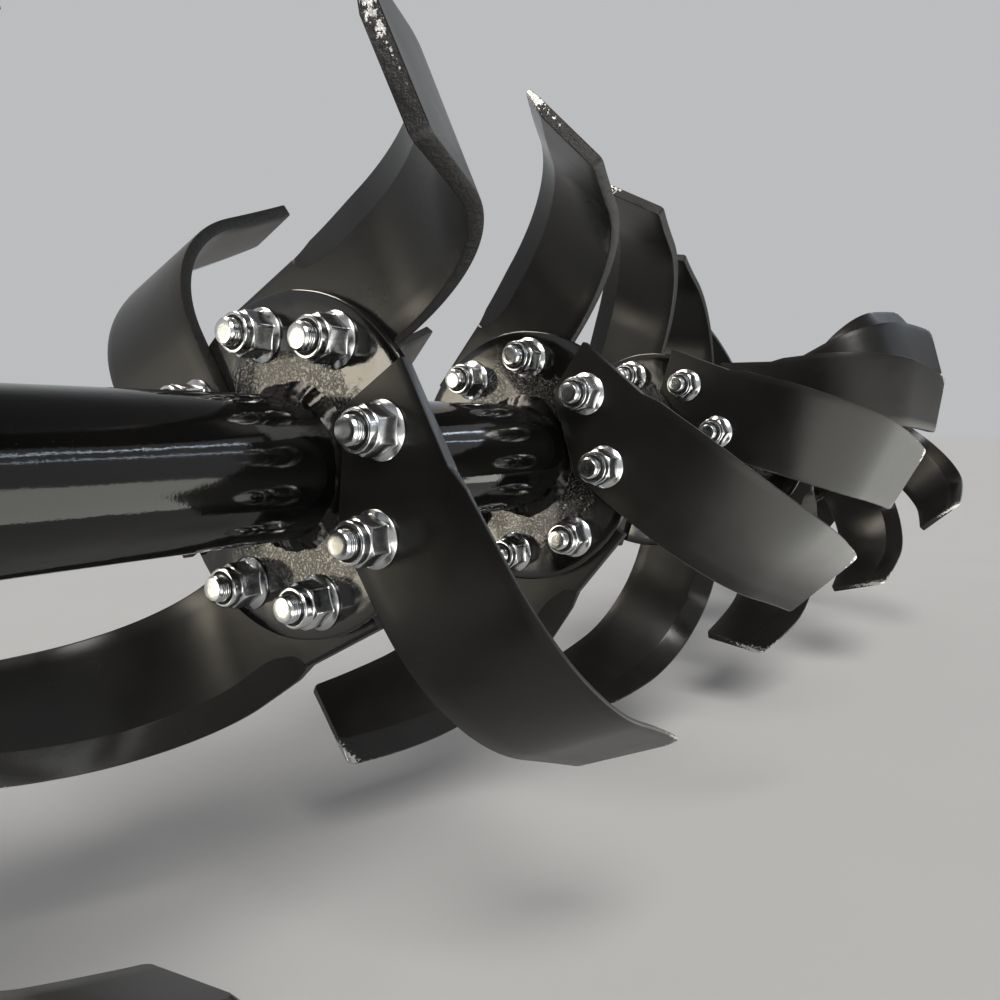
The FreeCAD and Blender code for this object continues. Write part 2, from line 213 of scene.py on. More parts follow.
def ring_faces(rows, columns):
    """Quads between rows of points that each close on themselves."""
    faces = []
    for i in range(rows - 1):
        for j in range(columns):
            a = i * columns + j
            b = i * columns + (j + 1) % columns
            faces.append((a, b, b + columns, a + columns))
    return faces


def reversed_faces(faces):
    """The same faces, turned inside out."""
    return [tuple(reversed(face)) for face in faces]


def turned_rings(profile, count, radius_at=None):
    """Points turned about X from an (x, radius) profile, a ring at a time."""
    points = []
    for x, radius in profile:
        for j in range(count):
            angle = 2 * math.pi * j / count
            r = radius_at(x, radius, angle) if radius_at else radius
            points.append((x, r * math.cos(angle), r * math.sin(angle)))
    return points


# Tines

# Directions in a tine's flat shape: along and across its strip, and along and past its bend
strip_turn = math.radians(STRIP_ANGLE)
along = (math.cos(strip_turn), math.sin(strip_turn))
across = (-math.sin(strip_turn), math.cos(strip_turn))
ruling_turn = math.radians(STRIP_ANGLE + 90 - BEND_SKEW)
ruling = (math.cos(ruling_turn), math.sin(ruling_turn))
past = (math.sin(ruling_turn), -math.cos(ruling_turn))
bend_arc = BEND_RADIUS * math.radians(BEND_ANGLE)


def flat(s, offset):
    """The flat point at a distance along and across the strip, as (tangent, outward)."""
    return (along[0] * s + across[0] * offset, BOLT_ROW + along[1] * s + across[1] * offset)


bend_line = flat(BEND_START, (EDGE_OFFSET - BACK_OFFSET) / 2)


def folded(point, depth):
    """Where a flat point goes in the bend, at a depth from the outer face."""
    du = point[0] - bend_line[0]
    dv = point[1] - bend_line[1]
    distance = du * past[0] + dv * past[1]
    shift = du * ruling[0] + dv * ruling[1]
    angle = min(max(distance / BEND_RADIUS, 0.0), math.radians(BEND_ANGLE))
    straight = max(distance - bend_arc, 0.0)
    radius = BEND_RADIUS - depth
    reach = min(distance, 0.0) + radius * math.sin(angle) + straight * math.cos(angle)
    rise = BEND_RADIUS - radius * math.cos(angle) + straight * math.sin(angle)
    u = bend_line[0] + shift * ruling[0] + reach * past[0]
    v = bend_line[1] + shift * ruling[1] + reach * past[1]
    return (rise, v, u)


def sagitta(radius, run):
    """How far an arc has left its tangent after a run along it."""
    return radius - math.sqrt(radius ** 2 - run ** 2) if run > 0 else 0.0


def tip_round_off(left):
    """How far the rounding of a tip corner cuts in, at a distance from the tip."""
    return 0.8 * sagitta(TIP_ROUNDING, TIP_ROUNDING - left)


def front_offset(s):
    """The cutting edge's distance across the strip."""
    edge_start = SHOULDER_START + SHOULDER_LENGTH
    if s < SHOULDER_START:
        share = (s + HEEL_LENGTH) / (SHOULDER_START + HEEL_LENGTH)
        return HEEL_HALF_WIDTH + (SHOULDER_OFFSET - HEEL_HALF_WIDTH) * share
    if s < edge_start:
        share = (s - SHOULDER_START) / SHOULDER_LENGTH
        return SHOULDER_OFFSET + (EDGE_OFFSET - SHOULDER_OFFSET) * share
    slope = EDGE_FLARE / (EDGE_CURVE_START - edge_start)
    offset = EDGE_OFFSET + slope * (s - edge_start) - sagitta(EDGE_RADIUS, s - EDGE_CURVE_START)
    return offset - tip_round_off(EDGE_LENGTH - s)


def back_offset(s):
    """The blunt back edge's distance across the strip, with the root cut that faces the tube."""
    back = -BACK_OFFSET - sagitta(BACK_RADIUS, s - BACK_CURVE_START)
    root = (tube_radius + ROOT_CLEARANCE - BOLT_ROW - along[1] * s) / across[1]
    return max(back, min(root, HEEL_HALF_WIDTH - 1)) + tip_round_off(BACK_LENGTH - s)


def smooth_step(value, low, high):
    """0 below low, 1 above high, smooth between."""
    t = min(max((value - low) / (high - low), 0.0), 1.0)
    return t * t * (3 - 2 * t)


def tine_section(width, s, inset):
    """Points round a tine's cross-section, as (distance from the cutting edge, depth, zone)."""
    share = min(max((s - SHOULDER_START) / BEVEL_RUN_UP, 0.0), 1.0)
    grown = math.sqrt(1 - (1 - share) ** 2)
    t = TINE_THICKNESS
    bevel = max(BEVEL_WIDTH * grown, LEAST_BEVEL)
    rise = max((t - BEVEL_EDGE_THICKNESS) * grown, LEAST_BEVEL_RISE)
    land = t - rise
    crease = CREASE_DEPTH * grown
    slope = rise / bevel
    soft = EDGE_ROUNDING
    steps = [i / 6 for i in range(7)]
    ring = [(width - soft - (width - soft - CREASE_WIDTH - 1) * q, 0.0, PLAIN) for q in steps]
    ring += [(CREASE_WIDTH - 0.5, 0.03 + crease * 0.05, PLAIN), (1.4, crease, PLAIN),
             (0.35, crease + 0.2, PLAIN), (0.0, crease + 0.7, PLAIN), (0.0, land - 0.6, PLAIN)]
    ring += [(0.25, land, GROUND), (0.9, land + slope * 0.9, GROUND),
             (bevel - 0.5, t - slope * 0.5, GROUND), (bevel - 0.05, t - slope * 0.05, GROUND)]
    ring += [(bevel + 0.25 + (width - soft - bevel - 0.25) * q, t, PLAIN) for q in steps]
    ring += [(width - 0.25, t - 0.25, SHEARED), (width, t - soft, SHEARED),
             (width, soft, SHEARED), (width - 0.25, 0.25, SHEARED)]
    if inset:
        middle = t / 2
        ring = [(min(max(d, inset), width - inset), z + (inset if z < middle else -inset), zone)
                for d, z, zone in ring]
    return ring


def tine_rows(number):
    """The cross-sections of one tine, with chips bitten from its edge near the tip."""
    run_front = EDGE_LENGTH + HEEL_LENGTH
    run_back = BACK_LENGTH + HEEL_LENGTH
    root_end = (tube_radius + ROOT_CLEARANCE - BOLT_ROW + across[1] * BACK_OFFSET) / along[1]
    steps = int(run_front / STATION_STEP)
    shares = [i / steps for i in range(1, steps)]
    shares += [(SHOULDER_START + HEEL_LENGTH) / run_front,
               (SHOULDER_START + SHOULDER_LENGTH + HEEL_LENGTH) / run_front,
               (root_end + HEEL_LENGTH) / run_back]
    shares += [(SHOULDER_START + HEEL_LENGTH + after) / run_front for after in SHOULDER_STATIONS]
    shares += [1 - left / run_front for left in TIP_STATIONS]
    small = EDGE_ROUNDING / 2 / run_front
    stations = [(0.0, EDGE_ROUNDING / 2), (small, 0.0)]
    stations += [(share, 0.0) for share in sorted(shares)]
    stations += [(1 - small, 0.0), (1.0, EDGE_ROUNDING / 2)]
    rows = []
    for share, inset in stations:
        s_front = -HEEL_LENGTH + run_front * share
        s_back = -HEEL_LENGTH + run_back * share
        near_tip = smooth_step(s_front, EDGE_LENGTH - CHIPPED_LENGTH, EDGE_LENGTH)
        bite = noise.noise(Vector((s_front * 0.23, number * 7.3, 1.0)))
        bite += 0.6 * noise.noise(Vector((s_front * 0.61, number * 3.1, 5.0)))
        front = flat(s_front, front_offset(s_front) - CHIP_DEPTH * near_tip * max(bite, 0.0))
        back = flat(s_back, back_offset(s_back))
        width = math.hypot(front[0] - back[0], front[1] - back[1])
        to_back = ((back[0] - front[0]) / width, (back[1] - front[1]) / width)
        row = []
        for d, z, zone in tine_section(width, s_front, inset):
            place = (front[0] + to_back[0] * d, front[1] + to_back[1] * d)
            row.append((folded(place, z), s_front, d, SHEARED if inset else zone))
        rows.append(row)
    return rows


def tine_mesh(name, number, side, angle, x):
    """One tine in its place on the rotor, with its wear kept as a mesh attribute."""
    rows = tine_rows(number)
    turn = Matrix.Rotation(math.radians(angle), 3, "X")
    points = []
    wear = []
    ground = []
    sheared = []
    for row in rows:
        for (rise, v, u), s, d, zone in row:
            place = turn @ Vector((side * rise, v, u))
            points.append((place.x + x, place.y, place.z))
            ground.append(float(zone == GROUND and s > SHOULDER_START))
            sheared.append(float(zone == SHEARED))
            left = max(EDGE_LENGTH - s, 0.0)
            tip = math.exp(-left / TIP_WEAR_LENGTH) * math.exp(-d / TIP_WEAR_WIDTH)
            worn = smooth_step(s, EDGE_LENGTH - WORN_LENGTH, EDGE_LENGTH)
            wear.append(max(tip, 0.5 * math.exp(-d / EDGE_WEAR_WIDTH) * worn))
    columns = len(rows[0])
    faces = ring_faces(len(rows), columns)
    faces.append(tuple(range(columns - 1, -1, -1)))
    last = (len(rows) - 1) * columns
    faces.append(tuple(range(last, last + columns)))
    if side > 0:
        faces = reversed_faces(faces)
    mesh = make_mesh(name, points, faces, 30.0)
    for label, values in (("wear", wear), ("ground", ground), ("sheared", sheared)):
        layer = mesh.attributes.new(label, "FLOAT", "POINT")
        layer.data.foreach_set("value", values)
    return mesh


# Fasteners, each drawn with the nut's seat at 0 and the bolt's end towards -X

def hex_radius(angle, cap):
    """The radius of a hexagon at an angle, its corners rounded off at cap."""
    step = math.pi / 3
    off = (angle + step / 2) % step - step / 2
    return min(HEX_FLATS / 2 / math.cos(off), cap)


hex_angles = [2 * math.pi * j / HEX_POINTS for j in range(HEX_POINTS)]
hex_corners = [hex_radius(a, HEX_CORNER_RADIUS) for a in hex_angles]
hex_chamfer = math.tan(math.radians(HEX_CHAMFER_ANGLE))


def hex_ring(depths, radii):
    """A row of (depth, y, z) points round X. One number stands for a whole row of them."""
    if not isinstance(depths, list):
        depths = [depths] * HEX_POINTS
    if not isinstance(radii, list):
        radii = [radii] * HEX_POINTS
    return [(x, r * math.cos(a), r * math.sin(a)) for x, r, a in zip(depths, radii, hex_angles)]


def nut_mesh():
    """A flanged lock nut with a rolled collar over its locking insert."""
    cone = math.tan(math.radians(NUT_FLANGE_SLOPE))
    foot = [NUT_FLANGE_HEIGHT + (NUT_FLANGE_RADIUS - 0.7 - r) * cone for r in hex_corners]
    shoulder = [NUT_HEX_TOP - (r - HEX_FLATS / 2) * hex_chamfer - 0.5 for r in hex_corners]
    flange = [hex_ring(0.0, BOLT_RADIUS),
              hex_ring(0.0, NUT_FLANGE_RADIUS - 0.4),
              hex_ring(0.3, NUT_FLANGE_RADIUS),
              hex_ring(1.3, NUT_FLANGE_RADIUS),
              hex_ring(NUT_FLANGE_HEIGHT, NUT_FLANGE_RADIUS - 0.7)]
    hexagon = [hex_ring([x - 0.1 for x in foot], [r + 0.35 for r in hex_corners]),
               hex_ring([x + 0.35 for x in foot], hex_corners),
               hex_ring([x - 0.3 for x in shoulder], hex_corners),
               hex_ring([x + 0.15 for x in shoulder], [r - 0.2 for r in hex_corners]),
               hex_ring(NUT_HEX_TOP, HEX_FLATS / 2 - 0.6)]
    collar = [hex_ring(NUT_HEX_TOP, COLLAR_RADIUS + 0.5),
              hex_ring(NUT_HEX_TOP + 0.5, COLLAR_RADIUS),
              hex_ring(NUT_TOP - 1.4, COLLAR_RADIUS),
              hex_ring(NUT_TOP - 0.6, COLLAR_RADIUS - 0.2),
              hex_ring(NUT_TOP - 0.15, COLLAR_RADIUS - 0.6),
              hex_ring(NUT_TOP, COLLAR_RADIUS - 1.1),
              hex_ring(NUT_TOP, INSERT_RADIUS + 0.4),
              hex_ring(NUT_TOP - 0.3, INSERT_RADIUS),
              hex_ring(NUT_TOP - 3.0, INSERT_RADIUS),
              hex_ring(NUT_TOP - 3.1, BOLT_RADIUS - 0.3)]
    rows = flange + hexagon + collar
    points = [(-x, y, z) for row in rows for x, y, z in row]
    return make_mesh("lock_nut", points, ring_faces(len(rows), HEX_POINTS), 24.0)


def insert_and_shade_mesh():
    """The locking insert that grips the thread inside a nut's collar, in a dark finish that also
    paints the shade down in the collar.
    """
    profile = [(NUT_TOP - INSERT_DEPTH, INSERT_RADIUS), (NUT_TOP - 1.5, INSERT_RADIUS - 0.05),
               (NUT_TOP - 1.1, INSERT_RADIUS - 0.4), (NUT_TOP - 1.3, BOLT_RADIUS + 0.1),
               (NUT_TOP - 1.8, BOLT_RADIUS - 0.2)]
    points = turned_rings([(-x, r) for x, r in profile], INSERT_POINTS)
    return make_mesh("nut_insert", points, ring_faces(len(profile), INSERT_POINTS), 40.0)


def bolt_mesh():
    """The threaded end of a bolt, past its nut. The thread's groove takes up a share of its
    pitch and turns round the bolt as a helix."""
    count = 40
    steps = 26
    start = NUT_TOP - THREAD_IN_COLLAR
    end = BOLT_STAND
    points = []
    for i in range(steps + 1):
        x = start + (end - 0.05 - start) * i / steps
        for j in range(count):
            angle = 2 * math.pi * j / count
            phase = (x / THREAD_PITCH - j / count) % 1.0
            groove = THREAD_DEPTH * max(1 - abs(phase - 0.5) / THREAD_GROOVE, 0.0)
            past_shank = max(x - (end - BOLT_CHAMFER), 0.0)
            chamfer = BOLT_RADIUS - 0.1 - past_shank * BOLT_CHAMFER_SLOPE
            r = min(BOLT_RADIUS - groove, chamfer)
            points.append((-x, r * math.cos(angle), r * math.sin(angle)))
    end_face = [(-end, BOLT_RADIUS - 1.5), (-end, BOLT_RADIUS - 4.5), (-end, 0.05)]
    points += turned_rings(end_face, count)
    faces = ring_faces(steps + 1 + len(end_face), count)
    return make_mesh("tine_bolt_end", points, faces, 34.0)


def head_mesh(flats, height, seat, washer):
    """A hexagon head that faces +X, on a thin washer face."""
    scale = flats / HEX_FLATS
    corners = [r * scale for r in hex_corners]
    top = [height - (r - flats / 2) * hex_chamfer - 0.4 * scale for r in corners]
    rows = [hex_ring(0.0, flats * 0.3),
            hex_ring(0.0, washer),
            hex_ring(0.6 * scale, washer),
            hex_ring(0.7 * scale, flats / 2),
            hex_ring(0.75 * scale, corners),
            hex_ring(top, corners),
            hex_ring([x + 0.3 * scale for x in top], [r - 0.3 * scale for r in corners]),
            hex_ring(height, flats / 2 - 0.8 * scale),
            hex_ring(height, flats * 0.3),
            hex_ring(height - 0.25 * scale, flats * 0.27),
            hex_ring(height - 0.25 * scale, 0.05)]
    points = [(seat + x, y, z) for row in rows for x, y, z in row]
    faces = reversed_faces(ring_faces(len(rows), HEX_POINTS))
    return make_mesh("bolt_head", points, faces, 24.0)


# Tube, flanges and welds

def round_noise(angle, turns, layer):
    """Soft noise that closes on itself round a circle."""
    return noise.noise(Vector((math.cos(angle) * turns, math.sin(angle) * turns, layer)))


def tube_mesh():
    """The rotor tube with its ends just rounded."""
    inner = tube_radius - TUBE_WALL
    length = tube_end - tube_start
    profile = [(tube_start, inner), (tube_start, tube_radius - TUBE_EDGE),
               (tube_start + TUBE_EDGE, tube_radius)]
    profile += [(tube_start + 4 + (length - 8) * i / TUBE_SPANS, tube_radius)
                for i in range(TUBE_SPANS + 1)]
    profile += [(tube_end - TUBE_EDGE, tube_radius), (tube_end, tube_radius - TUBE_EDGE),
                (tube_end, inner)]
    points = turned_rings(profile, TUBE_POINTS)
    return make_mesh("rotor_tube_skin", points,
                     reversed_faces(ring_faces(len(profile), TUBE_POINTS)))


def flange_mesh(x0, number):
    """A flame-cut flange disc with a slightly uneven, softened rim."""
    def uneven(x, radius, angle):
        if radius < flange_radius - 3:
            return radius
        wave = round_noise(angle, 4, number * 5.0)
        fine = round_noise(angle, 30, x * 0.4)
        return radius - 0.25 - 0.25 * wave - 0.12 * fine

    t = FLANGE_THICKNESS
    r = flange_radius
    profile = [(0.0, tube_radius - 0.1), (0.0, r - 30), (0.0, r - 8), (0.0, r - 1.6),
               (0.2, r - 0.7), (0.7, r - 0.15), (t * 0.3, r), (t * 0.7, r - 0.1),
               (t - 0.7, r - 0.15), (t - 0.2, r - 0.7), (t, r - 1.6), (t, r - 8), (t, r - 30),
               (t, tube_radius - 0.1)]
    points = turned_rings([(x0 + x, radius) for x, radius in profile], FLANGE_POINTS, uneven)
    faces = reversed_faces(ring_faces(len(profile), FLANGE_POINTS))
    return make_mesh("flange_disc", points, faces, 40.0)


def weld_rows(x0, side, first_angle, number):
    """A hand-laid fillet weld: uneven lumps, fatter where no tine's root is in the way."""
    rows = []
    for j in range(WELD_STATIONS):
        angle = 2 * math.pi * j / WELD_STATIONS
        tine_angle = first_angle + (0 if side > 0 else 90)
        off = abs((math.degrees(angle) - tine_angle + 90) % 180 - 90)
        room = smooth_step(off, *TINE_ROOT_ANGLES)
        lump = LUMP_SIZE * round_noise(angle, LUMPS_ROUND, number * 3.7)
        fine = round_noise(angle, FINE_LUMPS_ROUND, number * 1.9)
        leg_r = WELD_LEG_R + WELD_LEG_R_FREE * room + (lump + 1.7 * fine) * (0.2 + 0.8 * room)
        leg_x = WELD_LEG_X + lump + 0.8 * fine
        row = []
        for k in range(WELD_COLUMNS):
            q = k / (WELD_COLUMNS - 1)
            crown = (WELD_CROWN + 0.4 * fine) * math.sin(math.pi * q)
            x = leg_x * (1 - q) ** WELD_HOLLOW + crown * 0.7 - WELD_SUNK
            rise = leg_r * q ** WELD_HOLLOW + crown * 0.6 * (0.35 + 0.65 * room)
            r = tube_radius - 0.15 + rise
            row.append((x0 + side * x, r * math.cos(angle), r * math.sin(angle)))
        rows.append(row)
    return rows


def weld_mesh(x0, side, first_angle, number):
    """The mesh of one weld bead."""
    rows = weld_rows(x0, side, first_angle, number)
    columns = len(rows[0])
    points = [p for row in rows for p in row]
    faces = []
    for i in range(len(rows)):
        for k in range(columns - 1):
            a = i * columns + k
            b = ((i + 1) % len(rows)) * columns + k
            faces.append((a, b, b + 1, a + 1))
    if side < 0:
        faces = reversed_faces(faces)
    return make_mesh("weld_bead", points, faces, 60.0)


# Materials

class Graph:
    """A material's nodes, with short ways to add and join them."""

    def __init__(self, name, **shader):
        self.material = bpy.data.materials.new(name)
        self.material.use_nodes = True
        self.tree = self.material.node_tree
        self.shader = self.tree.nodes["Principled BSDF"]
        self.place = self.add("TexCoord", output="Object")
        self.fill(self.shader, {key.replace("_", " "): value for key, value in shader.items()})

    def fill(self, node, values):
        """Sets or joins each given input of a node."""
        for key, value in values.items():
            if isinstance(value, bpy.types.NodeSocket):
                self.tree.links.new(value, node.inputs[key])
            else:
                node.inputs[key].default_value = value

    def add(self, kind, values=None, output=0, **settings):
        """Adds a node and gives one of its outputs."""
        node = self.tree.nodes.new("ShaderNode" + kind)
        for key, value in settings.items():
            setattr(node, key, value)
        self.fill(node, values or {})
        return node.outputs[output]

    def noise(self, scale, detail=3.0, roughness=0.5, place=None):
        """Soft noise with features about 1 / scale metres across."""
        return self.add("TexNoise", {"Vector": place or self.place, "Scale": scale,
                                     "Detail": detail, "Roughness": roughness})

    def stretched(self, x, y, z):
        """The place, scaled along each axis."""
        return self.add("Mapping", {"Vector": self.place, "Scale": (x, y, z)})

    def span(self, value, low, high, to_low=0.0, to_high=1.0):
        """Maps a value's range smoothly onto another."""
        return self.add("MapRange", {"Value": value, "From Min": low, "From Max": high,
                                     "To Min": to_low, "To Max": to_high},
                        interpolation_type="SMOOTHSTEP")

    def math(self, operation, a, b=0.5):
        """One step of arithmetic on two values."""
        return self.add("Math", {0: a, 1: b}, operation=operation)

    def mix(self, share, a, b):
        """A colour between two colours."""
        return self.add("Mix", {0: share, 6: a, 7: b}, output=2, data_type="RGBA")

    def from_axis(self):
        """The distance from the rotor's axis, in metres."""
        flat_place = self.add("VectorMath", {0: self.place, 1: (0, 1, 1)}, operation="MULTIPLY")
        return self.add("VectorMath", {0: flat_place}, output="Value", operation="LENGTH")

    def bump(self, height, distance, under=None):
        """A normal that follows a height, on top of an earlier one."""
        values = {"Height": height, "Distance": distance, "Strength": 1.0}
        if under:
            values["Normal"] = under
        return self.add("Bump", values)

    def finish(self, **shader):
        """Joins the last values to the shader and gives the material."""
        self.fill(self.shader, {key.replace("_", " "): value for key, value in shader.items()})
        return self.material


def grey(level, warm=0.0):
    """A neutral colour, a little warmer or cooler."""
    return (level * (1 + warm), level, level * (1 - warm), 1.0)


def gloss_enamel():
    """Thick black gloss: wavy, with fine orange peel, sags, dust and faint streaks."""
    g = Graph("gloss_enamel", Specular_IOR_Level=0.36, Coat_Weight=0.15, Coat_Roughness=0.03)
    patches = g.noise(14.0, 4.0)
    streaks = g.noise(60.0, 3.0, place=g.stretched(0.12, 1.0, 1.0))
    dust = g.span(g.noise(900.0, 2.0, 0.7), 0.62, 0.75)
    dusty = g.math("MULTIPLY", dust, g.span(patches, 0.45, 0.7))
    color = g.mix(g.math("MULTIPLY", dusty, 0.3), grey(0.005, 0.05), grey(0.06, 0.12))
    rough = g.math("ADD", g.span(streaks, 0.35, 0.75, 0.04, 0.12), g.math("MULTIPLY", dusty, 0.2))
    waves = g.bump(g.noise(24.0, 2.0, 0.4, place=g.stretched(0.45, 1.0, 1.0)), 0.0007)
    sags = g.bump(g.noise(95.0, 1.0, 0.3, place=g.stretched(0.8, 1.0, 0.5)), 0.00012, waves)
    peel = g.bump(g.noise(520.0, 2.0, 0.5), 0.00004, sags)
    return g.finish(Base_Color=color, Roughness=rough, Normal=peel)


def flange_enamel():
    """Gloss black over flame-cut plate, spattered and rough towards the weld."""
    g = Graph("flange_enamel", Specular_IOR_Level=0.5, Coat_Weight=0.3, Coat_Roughness=0.05)
    radius = g.from_axis()
    ragged = g.math("ADD", radius, g.span(g.noise(60.0, 4.0), 0.3, 0.7, -0.007, 0.007))
    near_weld = g.span(ragged, 0.052, 0.074, 1.0, 0.0)
    grains = g.span(g.noise(470.0, 1.0, 0.5), 0.38, 0.62)
    drops = g.span(g.noise(430.0, 1.0, 0.4), 0.66, 0.74)
    patches = g.noise(22.0, 4.0)
    color = g.mix(g.span(patches, 0.4, 0.7), grey(0.007, 0.10), grey(0.014, 0.16))
    rough = g.math("ADD", g.span(patches, 0.3, 0.7, 0.07, 0.16),
                   g.math("MULTIPLY", near_weld, 0.05))
    waves = g.bump(g.noise(38.0, 2.0), 0.00035)
    rough_height = g.math("MULTIPLY", g.math("ADD", grains, drops), near_weld)
    spatter = g.bump(rough_height, 0.00065, waves)
    runs = g.bump(g.noise(120.0, 1.0, 0.3, place=g.stretched(1.0, 1.0, 0.35)), 0.00004, spatter)
    peel = g.bump(g.noise(700.0, 2.0), 0.00003, runs)
    return g.finish(Base_Color=color, Roughness=rough, Normal=peel)


def weld_enamel():
    """Black enamel pooled over a weld bead."""
    g = Graph("weld_enamel", Specular_IOR_Level=0.20, Coat_Weight=0.04, Coat_Roughness=0.06)
    color = g.mix(g.noise(150.0, 3.0), grey(0.004, 0.1), grey(0.009, 0.2))
    rough = g.span(g.noise(200.0, 3.0), 0.3, 0.7, 0.10, 0.24)
    lumps = g.bump(g.noise(170.0, 2.0, 0.5), 0.00014)
    grains = g.bump(g.noise(800.0, 2.0, 0.5), 0.00008, lumps)
    return g.finish(Base_Color=color, Roughness=rough, Normal=grains)


def tine_enamel():
    """Satin black over forged steel, glossier on the ground bevel and rough on sheared edges,
    chipped to bare metal at the tips."""
    g = Graph("tine_enamel", Specular_IOR_Level=0.34)
    clouds = g.noise(9.0, 4.0, 0.55)
    scuffs = g.noise(240.0, 4.0, 0.7, place=g.stretched(1.0, 0.25, 1.0))
    wear = g.add("Attribute", output="Fac", attribute_name="wear")
    ground = g.add("Attribute", output="Fac", attribute_name="ground")
    sheared = g.add("Attribute", output="Fac", attribute_name="sheared")
    ragged = g.noise(420.0, 5.0, 0.7)
    bare = g.span(g.math("ADD", wear, g.span(ragged, 0.3, 0.7, -0.30, 0.30)), 0.46, 0.54)
    fine_scuff = g.span(scuffs, 0.63, 0.78, 0.0, 0.24)
    enamel = g.mix(g.span(clouds, 0.3, 0.7), grey(0.008, 0.08), grey(0.014, 0.12))
    enamel = g.mix(fine_scuff, enamel, grey(0.07, 0.05))
    enamel = g.mix(g.math("MULTIPLY", sheared, 0.7), enamel, grey(0.005, 0.1))
    steel = g.mix(ragged, grey(0.40, 0.03), grey(0.70, 0.02))
    color = g.mix(bare, enamel, steel)
    satin = g.math("ADD", g.span(clouds, 0.3, 0.7, 0.27, 0.37), g.math("MULTIPLY", fine_scuff, 0.5))
    satin = g.math("SUBTRACT", satin, g.math("MULTIPLY", ground, 0.13))
    rough = g.math("ADD", satin, g.math("MULTIPLY", sheared, 0.12))
    forged = g.bump(g.noise(30.0, 2.0, 0.5), 0.00028)
    peel = g.bump(g.noise(650.0, 3.0, 0.6), 0.00004, forged)
    tears = g.math("MULTIPLY", g.noise(260.0, 4.0, 0.7), sheared)
    sheared_face = g.bump(tears, 0.0009, peel)
    chipped = g.bump(g.math("SUBTRACT", 1.0, bare), 0.00025, sheared_face)
    return g.finish(Base_Color=color, Roughness=rough, Metallic=bare, Normal=chipped)


def zinc_steel():
    """Bright zinc plate with faint handling marks."""
    g = Graph("zinc_steel", Metallic=1.0)
    marks = g.noise(260.0, 4.0, 0.6)
    tint = g.noise(90.0, 2.0)
    color = g.mix(tint, (0.50, 0.53, 0.57, 1.0), (0.66, 0.65, 0.62, 1.0))
    rough = g.span(marks, 0.3, 0.7, 0.14, 0.26)
    return g.finish(Base_Color=color, Roughness=rough,
                    Normal=g.bump(g.noise(900.0, 3.0, 0.6), 0.00003))


def turned_steel():
    """Steel turned on a lathe, with fine rings and an oily tint."""
    g = Graph("turned_steel", Metallic=1.0)
    rings = g.noise(1800.0, 2.0, 0.6, place=g.stretched(1.0, 0.004, 0.004))
    stain = g.noise(40.0, 4.0)
    color = g.mix(g.span(stain, 0.35, 0.7), (0.55, 0.55, 0.54, 1.0), (0.38, 0.36, 0.33, 1.0))
    rough = g.span(rings, 0.3, 0.7, 0.2, 0.38)
    return g.finish(Base_Color=color, Roughness=rough, Normal=g.bump(rings, 0.00004))


def housing_enamel():
    """Black enamel over sand-cast iron."""
    g = Graph("housing_enamel", Specular_IOR_Level=0.5)
    sand = g.noise(480.0, 5.0, 0.7)
    clouds = g.noise(30.0, 3.0)
    color = g.mix(clouds, grey(0.010, 0.05), grey(0.018, 0.08))
    rough = g.span(clouds, 0.3, 0.7, 0.24, 0.4)
    return g.finish(Base_Color=color, Roughness=rough,
                    Normal=g.bump(sand, 0.0003, g.bump(clouds, 0.0006)))


def bearing_steel():
    """Ground bearing steel."""
    g = Graph("bearing_steel", Metallic=1.0)
    rings = g.noise(1500.0, 2.0, 0.5, place=g.stretched(0.01, 1.0, 1.0))
    return g.finish(Base_Color=g.mix(rings, grey(0.5, 0.02), grey(0.62, 0.02)),
                    Roughness=g.span(rings, 0.3, 0.7, 0.15, 0.3))


def seal_rubber():
    """Matte black seal rubber."""
    g = Graph("seal_rubber", Specular_IOR_Level=0.4)
    fine = g.noise(700.0, 3.0)
    return g.finish(Base_Color=g.mix(fine, grey(0.012), grey(0.022)), Roughness=0.62,
                    Normal=g.bump(fine, 0.0001))


def floor_paint():
    """A plain pale floor with the faintest mottling."""
    g = Graph("floor_paint", Specular_IOR_Level=0.1)
    mottle = g.noise(3.0, 5.0)
    return g.finish(Base_Color=g.mix(mottle, grey(0.58, 0.01), grey(0.62, 0.01)), Roughness=0.75)


finishes = {
    "gloss_enamel": gloss_enamel(),
    "flange_enamel": flange_enamel(),
    "tine_enamel": tine_enamel(),
    "zinc_steel": zinc_steel(),
    "turned_steel": turned_steel(),
    "housing_enamel": housing_enamel(),
    "bearing_steel": bearing_steel(),
    "seal_rubber": seal_rubber(),
}
weld_finish = weld_enamel()


# The CAD nodes take the finish that the record names for them

for part in frame["record"]["subparts"]:
    node = frame["nodes"][part["node"]]
    node.data.materials.clear()
    node.data.materials.append(finishes[part["material_slot"]])


# Pieces

tube = add_piece("rotor_tube_skin", tube_mesh(), "rotor", finishes["gloss_enamel"])
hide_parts("rotor_tube")

nut = nut_mesh()
# The insert's dark finish also paints the shade down in each nut's collar round the bolt.
insert_and_shade = insert_and_shade_mesh()
bolt_end = bolt_mesh()
clamped = FLANGE_THICKNESS + TINE_THICKNESS
bolt_head = head_mesh(HEX_FLATS, HEAD_HEIGHT, clamped, HEX_FLATS / 2 - 0.4)
tine_nodes = {1: "tines_bent_right", -1: "tines_bent_left"}


def bolt_place(x, angle, u, spin):
    """The placement of one bolt's pieces, their shape turned by a spin about the bolt."""
    return (Matrix.Translation((x, 0, 0)) @ Matrix.Rotation(math.radians(angle), 4, "X")
            @ Matrix.Translation((0, BOLT_ROW, u)) @ Matrix.Rotation(spin, 4, "X"))


